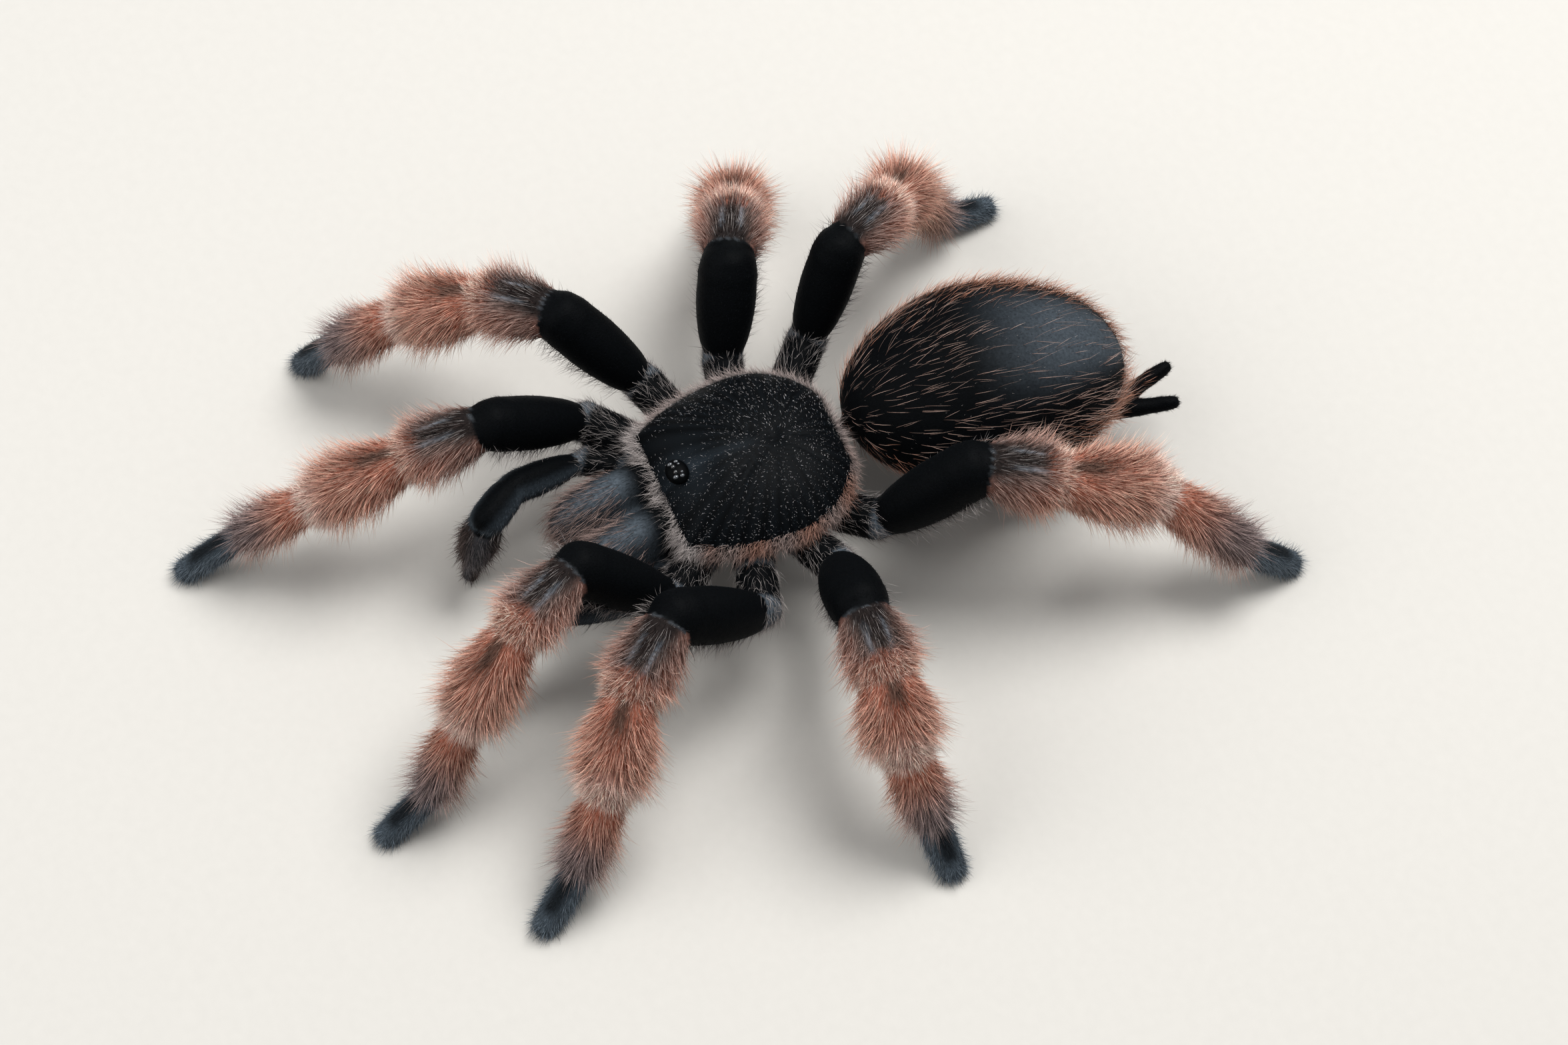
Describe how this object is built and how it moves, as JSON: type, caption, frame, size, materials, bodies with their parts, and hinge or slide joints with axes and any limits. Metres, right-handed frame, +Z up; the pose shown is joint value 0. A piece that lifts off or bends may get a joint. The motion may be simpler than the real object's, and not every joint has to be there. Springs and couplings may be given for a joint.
{
  "type": "tarantula",
  "caption": "Life-size still model of a large hairy ground-dwelling tarantula standing on its feet, black with salmon-pink hair on the outer legs.",
  "frame": {"origin": "middle of the standing spider's outline, at the level of the floor under its feet", "axes": "+Z up, +Y towards the tail, so the head faces -Y and the spider's left side is +X"},
  "size_m": [0.1083, 0.1343, 0.0304],
  "materials": {
    "black_shell": "satin",
    "black_velvet": "matte",
    "salmon_hair": "matte",
    "grey_brown_hair": "matte",
    "slate_pad": "matte",
    "black_coat": "matte",
    "eye_lens": "gloss",
    "fang_horn": "gloss"
  },
  "bodies": {
    "root": {"abdomen": "black_coat", "carapace": "black_shell", "chelicera_left": "black_coat", "chelicera_right": "black_coat", "eyes": "eye_lens", "fang_left": "fang_horn", "fang_right": "fang_horn", "leg_left_1_femur": "black_velvet", "leg_left_1_metatarsus": "salmon_hair", "leg_left_1_patella": "grey_brown_hair", "leg_left_1_tarsus": "slate_pad", "leg_left_1_tibia": "salmon_hair", "leg_left_2_femur": "black_velvet", "leg_left_2_metatarsus": "salmon_hair", "leg_left_2_patella": "grey_brown_hair", "leg_left_2_tarsus": "slate_pad", "leg_left_2_tibia": "salmon_hair", "leg_left_3_femur": "black_velvet", "leg_left_3_metatarsus": "salmon_hair", "leg_left_3_patella": "grey_brown_hair", "leg_left_3_tarsus": "slate_pad", "leg_left_3_tibia": "salmon_hair", "leg_left_4_femur": "black_velvet", "leg_left_4_metatarsus": "salmon_hair", "leg_left_4_patella": "grey_brown_hair", "leg_left_4_tarsus": "slate_pad", "leg_left_4_tibia": "salmon_hair", "leg_right_1_femur": "black_velvet", "leg_right_1_metatarsus": "salmon_hair", "leg_right_1_patella": "grey_brown_hair", "leg_right_1_tarsus": "slate_pad", "leg_right_1_tibia": "salmon_hair", "leg_right_2_femur": "black_velvet", "leg_right_2_metatarsus": "salmon_hair", "leg_right_2_patella": "grey_brown_hair", "leg_right_2_tarsus": "slate_pad", "leg_right_2_tibia": "salmon_hair", "leg_right_3_femur": "black_velvet", "leg_right_3_metatarsus": "salmon_hair", "leg_right_3_patella": "grey_brown_hair", "leg_right_3_tarsus": "slate_pad", "leg_right_3_tibia": "salmon_hair", "leg_right_4_femur": "black_velvet", "leg_right_4_metatarsus": "salmon_hair", "leg_right_4_patella": "grey_brown_hair", "leg_right_4_tarsus": "slate_pad", "leg_right_4_tibia": "salmon_hair", "palp_left_femur": "black_coat", "palp_left_patella": "black_coat", "palp_left_tarsus": "black_coat", "palp_left_tibia": "black_coat", "palp_right_femur": "black_coat", "palp_right_patella": "black_coat", "palp_right_tarsus": "black_coat", "palp_right_tibia": "black_coat", "pedicel": "black_coat", "spinneret_left": "black_coat", "spinneret_right": "black_coat", "sternum_and_coxae": "black_coat"}
  },
  "joints": []
}
